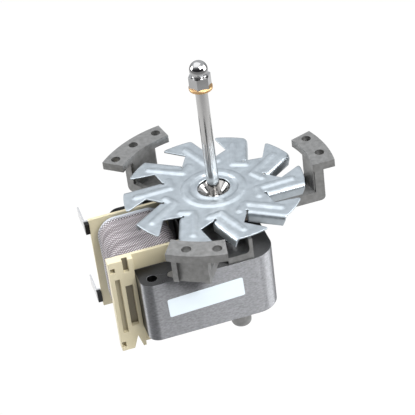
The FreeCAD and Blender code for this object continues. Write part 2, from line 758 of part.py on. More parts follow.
def fan_blade_tools():
    """One blade's slot to cut, and the folded flange and pressed rib to add, for a tip at angle 0."""
    top = size("fan_top")
    sheet_thick = size("fan_sheet")
    fold = size("fold_offset")
    bend = size("fold_radius")
    drop = size("fold_drop")
    start = size("slot_inner")
    relief = size("slot_relief_radius")
    rim = math.sqrt(size("fan_radius") ** 2 - fold ** 2)
    low = top - 3 * sheet_thick
    free = fold + size("slot_width")
    turn_in = start + size("slot_corner_shift")
    flare = math.tan(math.radians(size("slot_flare_angle"))) * (2 * rim - turn_in)
    slot = raised([
        FreeCAD.Vector(start, -fold, low), FreeCAD.Vector(turn_in, -free, low),
        FreeCAD.Vector(2 * rim, -free - flare, low), FreeCAD.Vector(2 * rim, -fold, low),
    ], 4 * sheet_thick)
    slot = slot.fuse(Part.makeCylinder(relief, 4 * sheet_thick,
                                       FreeCAD.Vector(start, -fold - relief / 2, low)))
    start += relief
    outer_mid = FreeCAD.Vector(start, -fold - bend * math.sin(math.pi / 4),
                               top - bend * (1 - math.cos(math.pi / 4)))
    inner_bend = bend - sheet_thick
    inner_mid = FreeCAD.Vector(start, -fold - inner_bend * math.sin(math.pi / 4),
                               top - bend + inner_bend * math.cos(math.pi / 4))
    corner = [
        FreeCAD.Vector(start, -fold, top), FreeCAD.Vector(start, -fold - bend, top - bend),
        FreeCAD.Vector(start, -fold - bend, top - drop),
        FreeCAD.Vector(start, -fold - inner_bend, top - drop),
        FreeCAD.Vector(start, -fold - inner_bend, top - bend),
        FreeCAD.Vector(start, -fold, top - sheet_thick),
    ]
    edges = [
        Part.Arc(corner[0], outer_mid, corner[1]).toShape(),
        Part.LineSegment(corner[1], corner[2]).toShape(),
        Part.LineSegment(corner[2], corner[3]).toShape(),
        Part.LineSegment(corner[3], corner[4]).toShape(),
        Part.Arc(corner[4], inner_mid, corner[5]).toShape(),
        Part.LineSegment(corner[5], corner[0]).toShape(),
    ]
    flange = Part.Face(Part.Wire(edges)).extrude(FreeCAD.Vector(rim - start, 0, 0))
    slant = size("fold_slant")
    wedge = [
        FreeCAD.Vector(rim, -fold - 2 * bend, top), FreeCAD.Vector(rim + 1, -fold - 2 * bend, top),
        FreeCAD.Vector(rim + 1, -fold - 2 * bend, top - drop - 1),
        FreeCAD.Vector(rim - slant, -fold - 2 * bend, top - drop - 1),
    ]
    cutter = Part.Face(Part.makePolygon(wedge + wedge[:1])).extrude(FreeCAD.Vector(0, 3 * bend, 0))
    rim_drum = Part.makeCylinder(size("fan_radius"), 2 * drop, FreeCAD.Vector(0, 0, top - 1.5 * drop))
    flange = flange.cut(cutter).common(rim_drum)
    return slot, flange, rib_solid(0.0), rib_solid(sheet_thick)


def rib_solid(skin):
    """A blade's pressed rib, drawn in by a skin's thickness: a long leg and a short one that meet at
    the rib's start, each with a flat crown and sloped sides."""
    top = size("fan_top")
    along = size("rib_offset")
    rim = math.sqrt(size("fan_radius") ** 2 - along ** 2)
    start = FreeCAD.Vector(size("rib_start"), -along, 0)
    far = FreeCAD.Vector(rim - size("rib_margin"), -along, 0)
    lean = FreeCAD.Rotation(Z_AXIS, -FULL_TURN / size("fan_blades") / 4)
    near = start + lean.multVec(FreeCAD.Vector(0, -size("rib_short_length"), 0))
    legs = [pressed_leg(start, far, skin, top), pressed_leg(start, near, skin, top)]
    return legs[0].fuse(legs[1])


def pressed_leg(start, end, skin, top):
    """One straight leg of a pressed rib: a frustum on a rectangle about the leg's centre line."""
    low = top - size("fan_sheet")
    crown = top + size("rib_rise") - skin
    floor = low - skin
    ahead = (end - start).normalize()
    aside = Z_AXIS.cross(ahead)
    grade = size("rib_slope") / (size("rib_rise") + size("fan_sheet"))
    faces = []
    for height in (floor, crown):
        half = size("rib_half_width") - skin * 0.8 - grade * (height - floor)
        corners = []
        for end_point, sign in ((start, -1), (end, 1)):
            for side in (-sign, sign):
                corners.append(end_point + ahead * sign * half + aside * side * half
                               + Z_AXIS * height)
        faces.append(Part.makePolygon(corners + corners[:1]))
    return Part.makeLoft(faces, True, True)


def at_free_tip(spot):
    """Tells whether a point is at the rim where a blade's free edge ends."""
    rim = size("fan_radius")
    pitch = FULL_TURN / size("fan_blades")
    fold_turn = math.degrees(math.asin(size("fold_offset") / rim))
    past_fold = math.degrees(math.atan2(spot.y, spot.x)) - size("fan_tip_angle") + fold_turn
    return abs(math.hypot(spot.x, spot.y) - rim) < 0.01 and 1 < past_fold % pitch < pitch - 1


def fan():
    """The stamped fan: a ringed disc with ten slots, each blade ribbed and folded down at one side."""
    top = size("fan_top")
    thick = size("fan_sheet")
    rise = size("ring_rise")
    slope = size("ring_slope")
    lip = size("fan_lip")
    hole = size("fan_hole_radius")
    upper = [
        (hole, top + lip), (hole + thick, top + lip), (hole + 2 * thick, top),
        (size("ring_inner") - slope, top), (size("ring_inner"), top + rise),
        (size("ring_outer") - slope, top + rise), (size("ring_outer"), top), (size("fan_radius"), top),
    ]
    lower = [
        (size("fan_radius"), top - thick), (size("ring_outer") - 0.2, top - thick),
        (size("ring_outer") - slope - 0.2, top + rise - thick),
        (size("ring_inner") + 0.2, top + rise - thick),
        (size("ring_inner") - slope + 0.2, top - thick), (hole, top - thick),
    ]
    disc = revolved(upper + lower)
    slot, flange, ridge, groove = fan_blade_tools()
    slots = []
    flanges = []
    grooves = []
    for index in range(int(size("fan_blades"))):
        angle = size("fan_tip_angle") + index * FULL_TURN / size("fan_blades")
        for kind, shape in ((slots, slot), (flanges, flange), (flanges, ridge), (grooves, groove)):
            copy = shape.copy()
            copy.rotate(FreeCAD.Vector(), Z_AXIS, angle)
            kind.append(copy)
    bladed = disc.cut(slots).removeSplitter()
    tips = [edge for edge in bladed.Edges if upright(edge) and at_free_tip(edge.Vertexes[0].Point)]
    bladed = bladed.makeFillet(size("blade_corner_radius"), tips)
    return bladed.fuse(flanges).cut(grooves).removeSplitter()


def fan_hub():
    """The spring hub: a rim under the fan's hole, a dish, and teeth that grip the shaft."""
    rim_top = size("fan_top") - size("fan_sheet")
    thick = size("hub_sheet")
    grip = size("shaft_radius")
    hole = size("fan_hole_radius")
    dish = rim_top - size("hub_dish")
    ring = revolved([
        (hole + 2.2, rim_top), (hole - 0.4, rim_top), (grip + 1.4, dish), (grip, dish + 1.3),
        (grip, dish + 0.5), (grip + 1.4, dish - thick - 0.2), (hole - 0.4, rim_top - thick - 0.1),
        (hole + 2.2, rim_top - thick),
    ])
    slits = []
    for index in range(int(size("hub_teeth"))):
        slit = Part.makeBox(hole - grip - 1.6, size("hub_slit"), 3 * size("hub_dish"),
                            FreeCAD.Vector(grip - 0.3, -size("hub_slit") / 2, dish - size("hub_dish")))
        slit.rotate(FreeCAD.Vector(), Z_AXIS, index * FULL_TURN / size("hub_teeth"))
        slits.append(slit)
    return ring.cut(slits)


def label():
    """The blank sticker on the stack's front face."""
    half_length = size("label_length") / 2
    half_height = size("label_height") / 2
    wire = rounded_loop(half_length, half_height, 1.0, 0.0, 0.0, 0.0)
    plate = Part.Face(wire).extrude(FreeCAD.Vector(0, -size("label_thick"), 0))
    if plate.Volume < 0:
        plate = plate.reversed()
    spot = FreeCAD.Vector(-size("label_centre_left"), -size("stack_half_width"),
                          size("stack_top") - size("label_drop"))
    coded("label", plate, FreeCAD.Placement(spot, FreeCAD.Rotation(Y_AXIS, -size("label_tilt"))))


def build():
    """Makes every sub-part in the document."""
    spider()
    stack()
    doc.addObject("Part::Compound", "shading_rings").Links = shading_loops("ring")
    rivets()
    bar()
    bobbin()
    winding = coil(size("tape_thick"))
    coded("coil_winding", winding)
    coded("coil_tape", coil(0.0).cut(winding))
    terminals()
    lower_bracket()
    screws()
    bearings()
    shaft()
    rotor()
    tip()
    coded("cooling_fan", fan())
    coded("fan_hub", fan_hub())
    label()


NODES = (
    "mounting_spider", "lower_bracket", "stator_stack", "core_bar", "shading_rings", "stack_rivets",
    "coil_bobbin", "coil_winding", "coil_tape", "terminal_upper", "terminal_lower",
    "upper_bearing", "lower_bearing", "upper_oil_felt", "lower_oil_felt",
    "upper_retainer", "lower_retainer", "through_screws", "label",
    "shaft", "rotor_core", "rotor_cage", "rotor_spacers", "upper_thrust_washer",
    "lower_thrust_washer", "cooling_fan", "fan_hub", "shaft_washer", "acorn_nut",
)

build()
doc.recompute()
for item in doc.Objects:
    if "Invalid" in item.State or "Error" in item.State:
        raise RuntimeError("%s: %s" % (item.Label, item.State))
os.makedirs("parts", exist_ok=True)
for node in NODES:
    part = doc.getObject(node)
    part.Label = node
    if part.Shape.isNull() or not part.Shape.isValid() or not part.Shape.Solids:
        raise RuntimeError("%s has no sound shape" % node)
    part.Shape.exportStep("parts/%s.step" % node)
    corners = part.Shape.BoundBox
    print("%-22s solids %2d volume %9.1f x %6.1f %6.1f y %6.1f %6.1f z %6.1f %6.1f" % (
        node, len(part.Shape.Solids), part.Shape.Volume, corners.XMin, corners.XMax,
        corners.YMin, corners.YMax, corners.ZMin, corners.ZMax))
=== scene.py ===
import bpy
import json
import math
import bmesh
import numpy as np
from mathutils import Matrix, Vector
from mathutils.geometry import delaunay_2d_cdt


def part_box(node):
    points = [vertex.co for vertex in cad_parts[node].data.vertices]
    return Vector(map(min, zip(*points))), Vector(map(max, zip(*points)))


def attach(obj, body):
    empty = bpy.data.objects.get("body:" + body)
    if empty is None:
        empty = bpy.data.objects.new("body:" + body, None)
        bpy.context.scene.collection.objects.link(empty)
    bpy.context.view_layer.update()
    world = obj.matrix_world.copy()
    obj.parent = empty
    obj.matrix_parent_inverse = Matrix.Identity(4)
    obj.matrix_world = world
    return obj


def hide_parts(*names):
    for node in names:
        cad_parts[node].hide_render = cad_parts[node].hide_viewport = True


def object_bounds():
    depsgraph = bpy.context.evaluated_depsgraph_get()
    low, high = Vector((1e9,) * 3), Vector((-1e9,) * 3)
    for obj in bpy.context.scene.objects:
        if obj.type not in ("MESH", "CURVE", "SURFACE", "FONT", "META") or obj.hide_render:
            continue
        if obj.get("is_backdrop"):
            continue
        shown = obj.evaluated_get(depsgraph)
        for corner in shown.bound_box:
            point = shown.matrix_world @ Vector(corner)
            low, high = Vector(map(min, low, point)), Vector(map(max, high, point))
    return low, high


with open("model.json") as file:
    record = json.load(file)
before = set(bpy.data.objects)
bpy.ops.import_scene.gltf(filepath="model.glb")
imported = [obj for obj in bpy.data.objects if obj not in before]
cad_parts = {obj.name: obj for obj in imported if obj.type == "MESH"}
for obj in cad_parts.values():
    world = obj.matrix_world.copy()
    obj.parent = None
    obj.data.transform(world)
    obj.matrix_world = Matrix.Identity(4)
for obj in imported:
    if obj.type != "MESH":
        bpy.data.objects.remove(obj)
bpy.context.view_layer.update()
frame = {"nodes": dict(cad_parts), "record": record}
NODES = frame["nodes"]
SLOT_OF = {row["node"]: row["material_slot"] for row in frame["record"]["subparts"]}
BODY_OF = {node: body for body, nodes in frame["record"]["behaviour"]["bodies"].items()
           for node in nodes}
MM = 0.001
MM_PER_CM = 10
FULL_TURN = 2 * math.pi
QUARTER_TURN = math.pi / 2

# The photograph's camera, fitted to the circles of the fan and the feet
IMAGE_PX = 415
FOCAL_PX = 1700
SENSOR_MM = 36.0
NEAREST = 0.01
CAMERA_AZIMUTH = math.radians(12.587)
CAMERA_ELEVATION = math.radians(35.468)
CAMERA_ROLL = math.radians(-7.563)
CAMERA_DISTANCE = 869.37 * MM
AIM_RIGHT_PX = 6.229
AIM_UP_PX = 19.441
FAN_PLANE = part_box("mounting_spider")[1].z - 4.83 * MM

# The stage, in metres: how far the floor is white and from where it is pale, the sky's tones,
# and each lamp's place, watts and width
FLOOR_HALF = 6.0
FLOOR_MIDDLE = (0.02, 0.14)
FLOOR_WHITE_REACH = 0.288
FLOOR_PALE_FROM = 0.4
FLOOR_WHITE = 1.02
FLOOR_PALE = 0.45
SKY_BRIGHT_SIDE = (0.15, 0.5, 0.85)
SKY_DARK = (0.05, 0.05, 0.055)
SKY_LIGHT = (0.95, 0.97, 1.0)
SKY_LIGHT_FROM = 0.75
LAMPS = (("key", (-0.2, 0.15, 1.0), 7.5, 1.3),
         ("fill", (0.3, -0.62, 0.72), 10.0, 0.5),
         ("right", (0.94, -0.3, 0.3), 15.0, 0.8),
         ("left", (-0.85, 0.4, 0.3), 7.0, 0.5))
LAMP_AIM = (0, 0, -0.03)

# Each slot's finish: name, dark and light tone, metal, roughness, and what differs in its grain
FINISHES = {
    "cast": ("cast_alloy", (0.2, 0.2, 0.197), (0.28, 0.28, 0.277), 0.98, 0.48,
             {"scale": 400, "grain": 2200, "height": 0.00008}),
    "laminations": ("lamination_steel", (0.2, 0.203, 0.213), (0.31, 0.314, 0.327), 1.0, 0.6,
                    {"stretch": (1, 1, 2), "scale": 700, "grain": 1600}),
    "copper": ("copper", (0.55, 0.24, 0.12), (0.7, 0.34, 0.2), 1.0, 0.35, {}),
    "rivet_steel": ("plated_steel", (0.36, 0.36, 0.37), (0.5, 0.5, 0.52), 1.0, 0.35, {}),
    "bobbin_plastic": ("ivory_nylon", (0.52, 0.465, 0.31), (0.62, 0.56, 0.4), 0.0, 0.42,
                       {"scale": 30, "grain": 1500}),
    "winding_wire": ("enamelled_wire", (0.35, 0.12, 0.05), (0.5, 0.2, 0.08), 0.6, 0.3, {}),
    "terminal_metal": ("tinned_steel", (0.62, 0.62, 0.63), (0.75, 0.75, 0.76), 1.0, 0.25, {}),
    "bronze": ("sintered_bronze", (0.34, 0.22, 0.1), (0.45, 0.3, 0.15), 0.8, 0.5, {}),
    "felt": ("oiled_felt", (0.4, 0.36, 0.28), (0.5, 0.46, 0.38), 0.0, 0.9, {}),
    "spring_steel": ("spring_steel", (0.3, 0.3, 0.32), (0.42, 0.42, 0.44), 1.0, 0.3, {}),
    "label_film": ("label_film", (0.66, 0.735, 0.79), (0.69, 0.765, 0.82), 0.0, 0.38, {}),
    "bright_steel": ("ground_steel", (0.44, 0.435, 0.43), (0.52, 0.515, 0.51), 1.0, 0.16,
                     {"stretch": (1, 1, 0.1), "scale": 120}),
    "cage_metal": ("cage_metal", (0.45, 0.45, 0.46), (0.55, 0.55, 0.56), 0.9, 0.5, {}),
    "spacer_plastic": ("spacer_nylon", (0.06, 0.06, 0.062), (0.09, 0.09, 0.092), 0.0, 0.5, {}),
    "galvanised_sheet": ("galvanised_sheet", (0.36, 0.4, 0.43), (0.45, 0.495, 0.53), 1.0, 0.4,
                         {"scale": 300, "grain": 800}),
    "hub_steel": ("hub_steel", (0.32, 0.31, 0.3), (0.42, 0.41, 0.4), 1.0, 0.16, {}),
    "bronze_washer": ("bronze_washer", (0.5, 0.3, 0.14), (0.62, 0.4, 0.2), 1.0, 0.25, {}),
    "bright_nut": ("bright_nut", (0.34, 0.34, 0.34), (0.42, 0.42, 0.42), 1.0, 0.1, {}),
}
TONE_RAMP = (0.3, 0.7)
TONE_DETAIL = 4.0
GLOSS_SPREAD = 0.06
RELIEF_DETAIL = 3.0
RELIEF_STRENGTH = 0.4
BRUSHING = 0.95
BRUSHING_TURN = 0.25

# Darkened places, all painted shade but the tabs' dark roots: which coordinate and axis, its two
# values, and the darkening's share at the first and from the second on; the shares of all rows
# are multiplied
# The terminal tabs near black towards their roots
TAB_ROOTS = (("Object", "Y", 0.0206, 0.0196, 0, 1),)
# Painted shade on the front faces in the bobbin block's recesses, darker in the right-hand one
BLOCK_RECESS_SHADE = (("Normal", "Y", -0.85, -0.95, 0, 1),
                  ("Object", "Y", -0.0229, -0.0225, 0, 1),
                  ("Object", "Y", -0.0200, -0.0204, 0, 1),
                  ("Object", "X", -0.0592, -0.0574, 0.45, 0.85))
# Painted shade on the stack's upward faces, which lie under the fan
TOP_FACE_SHADE = (("Normal", "Z", 0.8, 0.95, 0, 0.85),)
# Painted shade, near black, on the upright walls of the stack's leg hole
LEG_HOLE_SHADE = (("Object", "X", -0.0474, -0.0472, 0, 1), ("Object", "X", -0.0416, -0.0414, 1, 0),
            ("Object", "Y", -0.0334, -0.0332, 0, 1), ("Object", "Y", -0.0274, -0.0272, 1, 0),
            ("Normal", "Z", 0.5, 0.3, 0, 1))
SHADE_AND_ROOT_MARKS = (("laminations", (0.05, 0.05, 0.05), TOP_FACE_SHADE),
          ("laminations", (0.01, 0.01, 0.01), LEG_HOLE_SHADE),
          ("bobbin_plastic", (0.07, 0.055, 0.03), BLOCK_RECESS_SHADE),
          ("terminal_metal", (0.03, 0.03, 0.03), TAB_ROOTS))

# Pieces that keep their modelled form, with the width in millimetres that rounds their edges
EDGE_WIDTHS = (("mounting_spider", 0.6), ("lower_bracket", 0.5), ("coil_bobbin", 0.35),
               ("stator_stack", 0.25), ("through_screws", 0.3), ("acorn_nut", 0.3),
               ("shaft_washer", 0.25), ("terminal_upper", 0.12), ("terminal_lower", 0.12))
EDGE_STEPS = 2
EDGE_ANGLE = 35.0
WELD_GAP = 0.001 * MM

# The stamped fan, in millimetres, in one blade's own frame with its tip at angle 0
FAN_RADIUS = 46.6
FAN_HOLE = 8.7
FAN_HOLE_SIDES = 72
FAN_BLADES = 10
FAN_TIP_ANGLE = math.radians(0.4)
FAN_FOLD = 15.0
FAN_SLOT_START = 22.8
FAN_SLOT_LIP = 1.05
FAN_SLOT_CORNER = (24.3, -25.3)
FAN_SLOT_FLARE = math.radians(7.1)
FAN_TIP_ROUND = 2.2
FAN_TIP_SHARES = (0, 0.2, 0.4, 0.6, 0.8)
FAN_RELIEF = ((23.5, -15.0), (23.25, -14.78), (22.8, -14.65), (22.35, -14.82), (22.1, -15.3),
              (22.3, -15.8))
FAN_SHEET = 0.7
FAN_BEND = 2.4
FAN_BEND_STEPS = 5
FAN_DROP = 5.8
FAN_FLANGE_STEPS = 3
FAN_CUT_EDGE = 0.1
FAN_CUT_ANGLE = 60
FAN_SMOOTH_ANGLE = 40.0
# Pressed rings: how high, and the radii where each starts, is full, starts to fall and ends
FAN_RINGS = ((0.9, 11.9, 12.9, 15.9, 17.3), (-0.25, 10.0, 10.8, 11.2, 12.0))
# The collar round the hole: how high, and how far out from the hole it starts to fall and ends
FAN_COLLAR_RISE = 0.8
FAN_COLLAR = (0.2, 1.3)
# The ribs: the line of their two legs, how far from it they are flat and end, and how high
FAN_RIB = ((38.9, -9.5), (20.3, -9.9), (19.3, -16.4))
FAN_RIB_FLAT = 0.7
FAN_RIB_HALF_WIDTH = 2.5
FAN_RIB_RISE = 0.7
FAR_AWAY = 99.0
# The sheet's mesh: its step, and how far its inner points keep from the edges
FAN_GRID = 0.75
GRID_FROM_HOLE = 0.5
GRID_FROM_EDGE = 0.45
MESH_TOLERANCE = 0.0001

# The coil's woven wrap, in millimetres
TAPE_CORNER = 7.4
TAPE_CORNER_STEPS = 4
TAPE_CROWN = 1.6
TAPE_SKIN = 0.35
TAPE_END_GAP = 0.1
TAPE_THICK = 0.25
TAPE_STEP = 0.5
TAPE_SMOOTH_ANGLE = 60.0
# Seams: where each crosses the coil's middle, its slope and its step; then the lap's section
TAPE_SEAMS = ((14.6, 0.02, 0.6), (12.0, -0.05, 0.5), (8.5, -0.1, 0.35), (3.0, -0.05, 0.1))
TAPE_LAP_UP = (-0.35, 0.35)
TAPE_LAP_DOWN = (0.5, 5.0)
# Wrinkles: waves round the ring and along it with their start, and how they grow along it
TAPE_WAVES = ((0.55, 0.3, 0.0), (0.21, -0.62, 1.3))
TAPE_WAVE_RISE = 0.05
TAPE_WAVE_LEAST = 0.4
TAPE_WAVE_GROWTH = (0.0, 14.0)

# The wrap's weave, on its unwrapped surface in centimetres, and its tones
WEAVE_PERIOD = 0.105
WAVE_TEXTURE_PERIOD = math.pi / 10
THREAD_TURNS = (45, -45)
THREAD_WAVER = 0.6
WEAVE_RAMP = (0.05, 0.45)
WEAVE_HEIGHT = 0.0002
WEAVE_STRENGTH = 0.35
CREASE_STRETCH = (0.3, 2.4, 1)
CREASE_WAVER = 0.6
CREASE_SEEN = (0.3, 0.6)
CREASE_WEAR = (0.25, 1.1)
PLAIN_EDGE = (1.35, 1.5)
TAPE_DARK = (0.1, 0.082, 0.09)
TAPE_LIGHT = (0.56, 0.535, 0.55)
TAPE_PLAIN = (0.52, 0.55, 0.6)
TAPE_MIDDLE = (0.5, 0.48, 0.49)
TAPE_ROUGHNESS = 0.7

# The mix node's sockets for colours
MIX_UNDER = 6
MIX_OVER = 7
MIX_RESULT = 2


def new_object(name, data):
    """An object in the scene that shows the given data."""
    made = bpy.data.objects.new(name, data)
    bpy.context.scene.collection.objects.link(made)
    return made


def make_camera():
    """Stands the camera where the photograph was taken from."""
    ahead = Vector((math.sin(CAMERA_AZIMUTH) * math.cos(CAMERA_ELEVATION),
                    math.cos(CAMERA_AZIMUTH) * math.cos(CAMERA_ELEVATION),
                    -math.sin(CAMERA_ELEVATION)))
    level = Vector((math.cos(CAMERA_AZIMUTH), -math.sin(CAMERA_AZIMUTH), 0))
    upright = level.cross(ahead)
    right = level * math.cos(CAMERA_ROLL) + upright * math.sin(CAMERA_ROLL)
    up = upright * math.cos(CAMERA_ROLL) - level * math.sin(CAMERA_ROLL)
    offset = right * AIM_RIGHT_PX + up * AIM_UP_PX + ahead * FOCAL_PX
    spot = Vector((0, 0, FAN_PLANE)) - offset * (CAMERA_DISTANCE / FOCAL_PX)
    data = bpy.data.cameras.new("camera")
    data.sensor_width = SENSOR_MM
    data.lens = SENSOR_MM * FOCAL_PX / IMAGE_PX
    data.clip_start = NEAREST
    camera = new_object("camera", data)
    camera.matrix_world = Matrix((
        (right.x, up.x, -ahead.x, spot.x),
        (right.y, up.y, -ahead.y, spot.y),
        (right.z, up.z, -ahead.z, spot.z),
        (0, 0, 0, 1),
    ))
    bpy.context.scene.camera = camera


def new_material(name, color, metallic, roughness):
    """A material with its node tree and its shader."""
    material = bpy.data.materials.new(name)
    material.use_nodes = True
    shader = material.node_tree.nodes["Principled BSDF"]
    shader.inputs["Base Color"].default_value = (*color, 1)
    shader.inputs["Metallic"].default_value = metallic
    shader.inputs["Roughness"].default_value = roughness
    return material, material.node_tree, shader


def add_node(tree, kind, **values):
    """A node in a tree, with its inputs set by name."""
    node = tree.nodes.new(kind)
    for name, value in values.items():
        node.inputs[name.replace("_", " ")].default_value = value
    return node


def link(tree, source, output, target, socket):
    """Joins one node's output to another's input."""
    tree.links.new(source.outputs[output], target.inputs[socket])


def add_range(tree, before, after=(0, 1)):
    """A node that maps one range of values to another and stops at its ends."""
    return add_node(tree, "ShaderNodeMapRange", From_Min=before[0], From_Max=before[1],
                    To_Min=after[0], To_Max=after[1])


def add_ramp(tree, places, dark, light):
    """A ramp from a dark colour at the first place to a light one at the second."""
    ramp = tree.nodes.new("ShaderNodeValToRGB")
    for element, place, color in zip(ramp.color_ramp.elements, places, (dark, light)):
        element.position = place
        element.color = (*color, 1)
    return ramp


def multiply(tree, first, second):
    """A socket with the product of two sockets' values."""
    product = tree.nodes.new("ShaderNodeMath")
    product.operation = "MULTIPLY"
    tree.links.new(first, product.inputs[0])
    tree.links.new(second, product.inputs[1])
    return product.outputs["Value"]


def lay_over(tree, share, under, color, shader):
    """Gives a shader one socket's colour, with another colour laid over it by a share."""
    mix = tree.nodes.new("ShaderNodeMix")
    mix.data_type = "RGBA"
    mix.inputs[MIX_OVER].default_value = (*color, 1)
    tree.links.new(under, mix.inputs[MIX_UNDER])
    tree.links.new(share, mix.inputs["Factor"])
    link(tree, mix, MIX_RESULT, shader, "Base Color")


def grained(name, dark, light, metallic, roughness, stretch=(1, 1, 1), scale=60.0, grain=900.0,
            height=0.00004):
    """A material whose tone, gloss and relief wander: cast, rolled, moulded or sintered."""
    middle = tuple((a + b) / 2 for a, b in zip(dark, light))
    material, tree, shader = new_material(name, middle, metallic, roughness)
    place = tree.nodes.new("ShaderNodeTexCoord")
    mapping = add_node(tree, "ShaderNodeMapping", Scale=stretch)
    link(tree, place, "Object", mapping, "Vector")
    noise = add_node(tree, "ShaderNodeTexNoise", Scale=scale, Detail=TONE_DETAIL)
    ramp = add_ramp(tree, TONE_RAMP, dark, light)
    link(tree, mapping, "Vector", noise, "Vector")
    link(tree, noise, "Fac", ramp, "Fac")
    link(tree, ramp, "Color", shader, "Base Color")
    gloss = add_range(tree, (0, 1), (roughness - GLOSS_SPREAD, roughness + GLOSS_SPREAD))
    link(tree, noise, "Fac", gloss, "Value")
    link(tree, gloss, "Result", shader, "Roughness")
    relief = add_node(tree, "ShaderNodeTexNoise", Scale=grain, Detail=RELIEF_DETAIL)
    bump = add_node(tree, "ShaderNodeBump", Strength=RELIEF_STRENGTH, Distance=height)
    link(tree, mapping, "Vector", relief, "Vector")
    link(tree, relief, "Fac", bump, "Height")
    link(tree, bump, "Normal", shader, "Normal")
    return material


def darken_within(material, color, limits):
    """Lays a darker colour on the part of a finish that lies or faces within the given limits:
    painted shade, or a dark root.
    """
    tree = material.node_tree
    place = tree.nodes.new("ShaderNodeTexCoord")
    splits = {}
    for output in ("Object", "Normal"):
        splits[output] = tree.nodes.new("ShaderNodeSeparateXYZ")
        link(tree, place, output, splits[output], "Vector")
    share = None
    for output, axis, low, high, least, most in limits:
        step = add_range(tree, (low, high), (least, most))
        link(tree, splits[output], axis, step, "Value")
        step = step.outputs["Result"]
        share = multiply(tree, share, step) if share else step
    shader = tree.nodes["Principled BSDF"]
    under = shader.inputs["Base Color"].links[0].from_socket
    lay_over(tree, share, under, color, shader)


def woven(name):
    """A fine diagonal weave on a piece's own unwrapped surface, plain near its far end."""
    material, tree, shader = new_material(name, TAPE_MIDDLE, 0.0, TAPE_ROUGHNESS)
    place = tree.nodes.new("ShaderNodeTexCoord")
    threads = []
    for angle in THREAD_TURNS:
        mapping = add_node(tree, "ShaderNodeMapping", Rotation=(0, 0, math.radians(angle)))
        wave = add_node(tree, "ShaderNodeTexWave", Scale=WAVE_TEXTURE_PERIOD / WEAVE_PERIOD,
                        Distortion=THREAD_WAVER, Detail=1.0)
        link(tree, place, "UV", mapping, "Vector")
        link(tree, mapping, "Vector", wave, "Vector")
        threads.append(wave.outputs["Fac"])
    weave = multiply(tree, *threads)
    along = add_node(tree, "ShaderNodeMapping", Scale=CREASE_STRETCH)
    link(tree, place, "UV", along, "Vector")
    crease = add_node(tree, "ShaderNodeTexNoise", Scale=1.0, Detail=1.0,
                      Distortion=CREASE_WAVER)
    link(tree, along, "Vector", crease, "Vector")
    worn = add_range(tree, CREASE_SEEN, CREASE_WEAR)
    link(tree, crease, "Fac", worn, "Value")
    ramp = add_ramp(tree, WEAVE_RAMP, TAPE_DARK, TAPE_LIGHT)
    tree.links.new(multiply(tree, weave, worn.outputs["Result"]), ramp.inputs["Fac"])
    split = tree.nodes.new("ShaderNodeSeparateXYZ")
    link(tree, place, "UV", split, "Vector")
    edge = add_range(tree, PLAIN_EDGE)
    link(tree, split, "Y", edge, "Value")
    lay_over(tree, edge.outputs["Result"], ramp.outputs["Color"], TAPE_PLAIN, shader)
    bump = add_node(tree, "ShaderNodeBump", Strength=WEAVE_STRENGTH, Distance=WEAVE_HEIGHT)
    tree.links.new(weave, bump.inputs["Height"])
    link(tree, bump, "Normal", shader, "Normal")
    return material


def make_materials():
    """Every finish of the object, by slot."""
    made = {slot: grained(*finish, **grain) for slot, (*finish, grain) in FINISHES.items()}
    made["woven_tape"] = woven("woven_tape_check")
    # Painted shade on the stack's top faces, in its leg hole and in the bobbin block's recesses;
    # dark roots on the tabs
    for slot, color, limits in SHADE_AND_ROOT_MARKS:
        darken_within(made[slot], color, limits)
    shader = made["laminations"].node_tree.nodes["Principled BSDF"]
    shader.inputs["Anisotropic"].default_value = BRUSHING
    shader.inputs["Anisotropic Rotation"].default_value = BRUSHING_TURN
    return made


def make_floor(floor_height):
    """A plain floor that glows white round the object and pale farther out."""
    mesh = bpy.data.meshes.new("floor")
    corners = ((-1, -1), (1, -1), (1, 1), (-1, 1))
    mesh.from_pydata([(x * FLOOR_HALF, y * FLOOR_HALF, floor_height) for x, y in corners], [],
                     [(0, 1, 2, 3)])
    floor = new_object("floor", mesh)
    material, tree, shader = new_material("floor_white", (0.0, 0.0, 0.0), 0.0, 1.0)
    shader.inputs["Emission Color"].default_value = (1, 1, 1, 1)
    shader.inputs["Specular IOR Level"].default_value = 0.0
    place = tree.nodes.new("ShaderNodeTexCoord")
    away = tree.nodes.new("ShaderNodeVectorMath")
    away.operation = "DISTANCE"
    away.inputs[1].default_value = (*FLOOR_MIDDLE, floor_height)
    link(tree, place, "Object", away, 0)
    glow = add_range(tree, (FLOOR_WHITE_REACH, FLOOR_PALE_FROM), (FLOOR_WHITE, FLOOR_PALE))
    link(tree, away, "Value", glow, "Value")
    link(tree, glow, "Result", shader, "Emission Strength")
    paint(floor, material)
    floor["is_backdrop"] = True


def make_sky():
    """An uneven sky that metal can mirror."""
    world = bpy.data.worlds.new("studio")
    world.use_nodes = True
    tree = world.node_tree
    background = tree.nodes["Background"]
    place = tree.nodes.new("ShaderNodeTexCoord")
    toward = tree.nodes.new("ShaderNodeVectorMath")
    toward.operation = "DOT_PRODUCT"
    toward.inputs[1].default_value = SKY_BRIGHT_SIDE
    ramp = add_ramp(tree, (0.0, SKY_LIGHT_FROM), SKY_DARK, SKY_LIGHT)
    link(tree, place, "Generated", toward, 0)
    link(tree, toward, "Value", ramp, "Fac")
    link(tree, ramp, "Color", background, "Color")
    background.inputs["Strength"].default_value = 1.0
    bpy.context.scene.world = world


def make_lamps():
    """Soft square lamps that all face the object."""
    for name, spot, watts, width in LAMPS:
        data = bpy.data.lights.new(name, "AREA")
        data.energy = watts
        data.size = width
        lamp = new_object(name, data)
        lamp.location = spot
        aim = Vector(LAMP_AIM) - Vector(spot)
        lamp.rotation_euler = aim.to_track_quat("-Z", "Y").to_euler()


